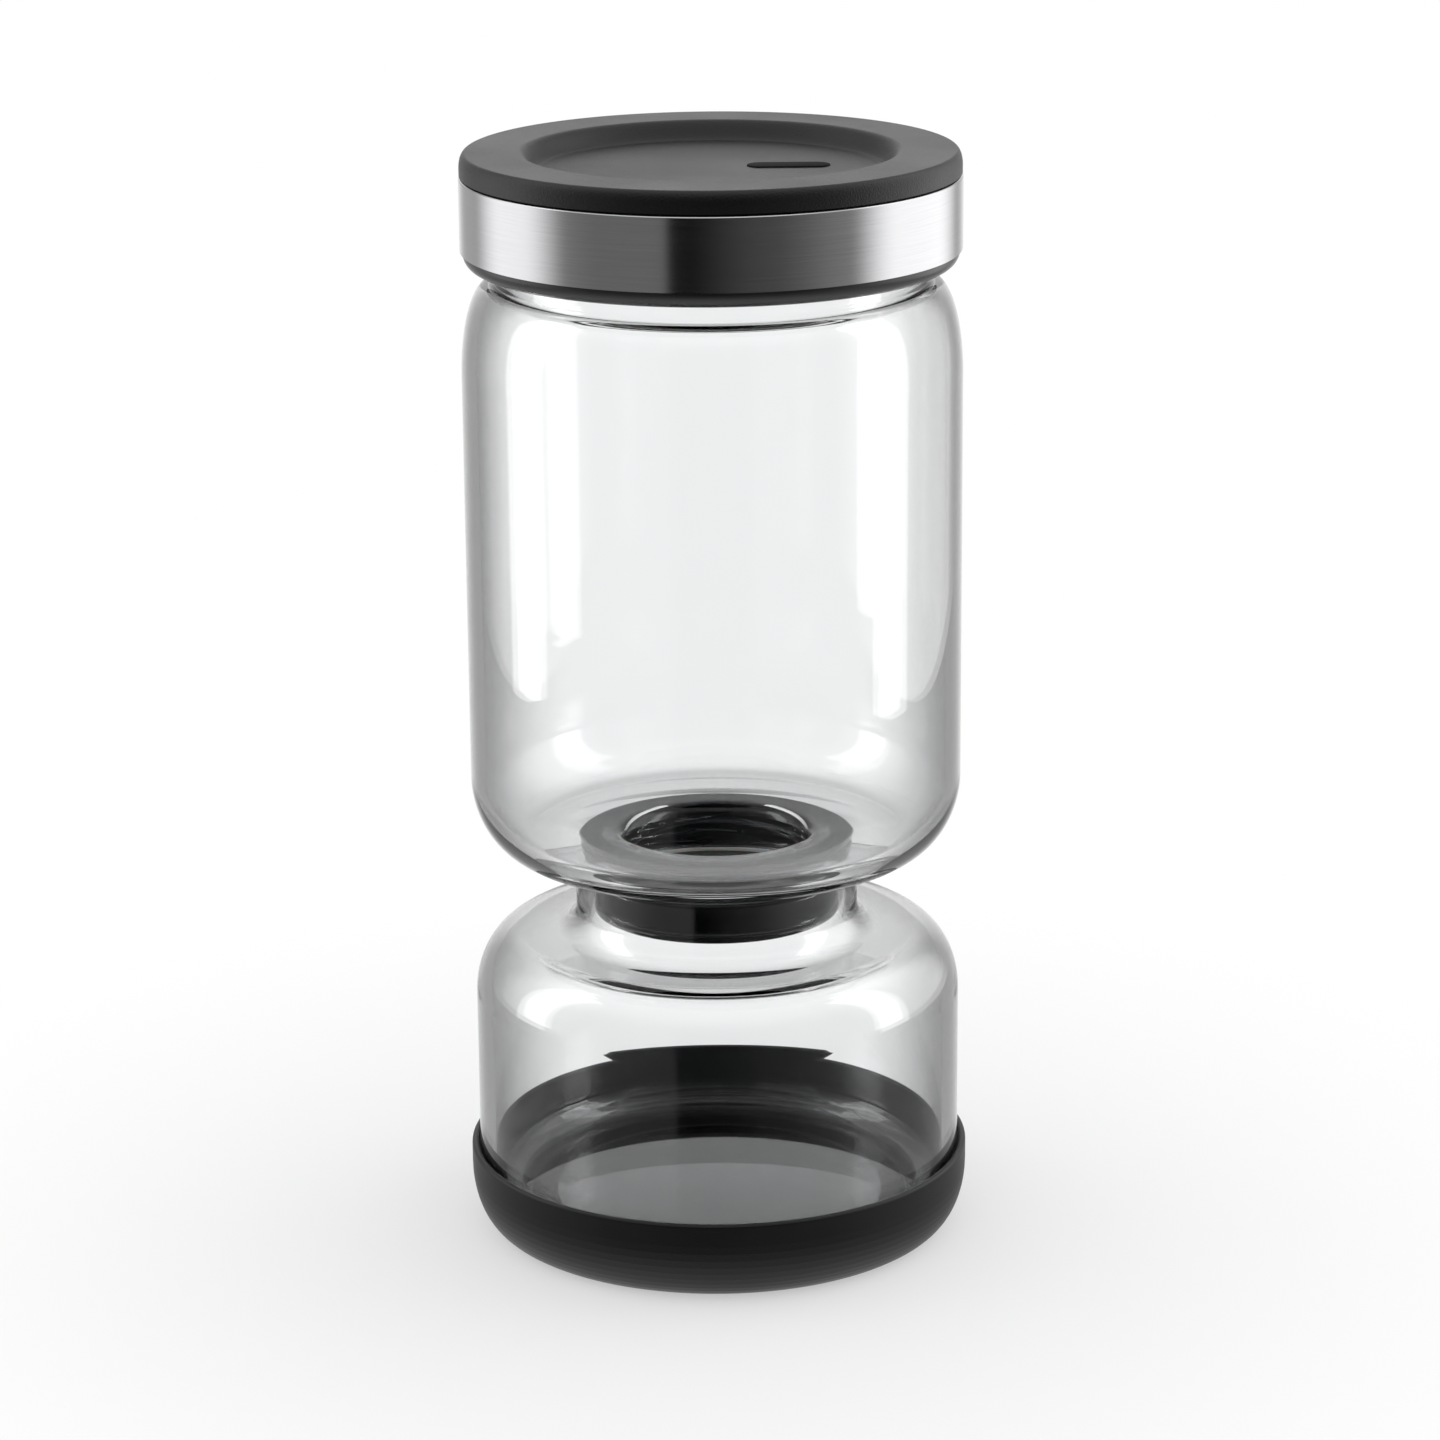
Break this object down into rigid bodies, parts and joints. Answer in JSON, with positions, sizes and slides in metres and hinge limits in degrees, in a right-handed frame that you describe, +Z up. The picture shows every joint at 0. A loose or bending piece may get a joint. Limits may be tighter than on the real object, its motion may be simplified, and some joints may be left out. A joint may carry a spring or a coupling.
{
  "type": "pickle keeper",
  "caption": "Hourglass pickle keeper: a tall screw-top glass jar joined by a strainer coupling to a squat brine jar in a soft foot; turn it over to lift the pickles out of the brine.",
  "frame": {"origin": "centre of the flat ring under the foot that the keeper stands on", "axes": "+Z up along the common axis of both jars and the lid, +X to the right as pictured, +Y away from the camera"},
  "size_m": [0.103, 0.103, 0.2238],
  "materials": {
    "jar_glass": "clear polished glass",
    "foot_rubber": "matte moulded silicone",
    "coupling_black": "glossy black moulded plastic",
    "strainer_black": "glossy black moulded plastic",
    "seal_black": "smooth silicone",
    "seal_clear": "translucent silicone",
    "cap_black": "satin black moulded plastic",
    "band_steel": "fine circular brush",
    "cover_black": "soft-touch, fine grain"
  },
  "bodies": {
    "foot": {"foot_cup": "foot_rubber"},
    "lower_jar": {"lower_jar": "jar_glass"},
    "coupling": {"coupling": "coupling_black", "coupling_seal": "seal_black"},
    "strainer": {"strainer": "strainer_black"},
    "neck_seal": {"neck_seal": "seal_clear"},
    "upper_jar": {"upper_jar": "jar_glass"},
    "lid_seal": {"lid_seal": "seal_clear"},
    "lid": {"lid_cap": "cap_black", "lid_band": "band_steel", "lid_cover": "cover_black"}
  },
  "joints": [
    {"name": "jar_from_foot", "type": "slide", "parent": "foot", "child": "lower_jar", "axis": [0, 0, 1], "range_m": [0, 0.02]},
    {"name": "coupling_lift", "type": "slide", "parent": "lower_jar", "child": "coupling", "axis": [0, 0, 1], "range_m": [0, 0.016]},
    {"name": "strainer_pull", "type": "slide", "parent": "coupling", "child": "strainer", "axis": [0, 0, -1], "range_m": [0, 0.01]},
    {"name": "jar_rise", "type": "slide", "parent": "coupling", "child": "neck_seal", "axis": [0, 0, 1], "range_m": [0, 0.0121]},
    {"name": "jar_turn", "type": "hinge", "parent": "neck_seal", "child": "upper_jar", "pos_m": [0, 0, 0.0805], "axis": [0, 0, 1], "range_deg": [0, 720]},
    {"name": "lid_rise", "type": "slide", "parent": "upper_jar", "child": "lid_seal", "axis": [0, 0, 1], "range_m": [0, 0.0181]},
    {"name": "lid_turn", "type": "hinge", "parent": "lid_seal", "child": "lid", "pos_m": [0, 0, 0.214], "axis": [0, 0, 1], "range_deg": [0, 540]}
  ],
  "couplings": [
    {"joint": "jar_rise", "follows": "jar_turn", "m_per_rad": 0.00095493},
    {"joint": "lid_rise", "follows": "lid_turn", "m_per_rad": 0.0019099}
  ]
}
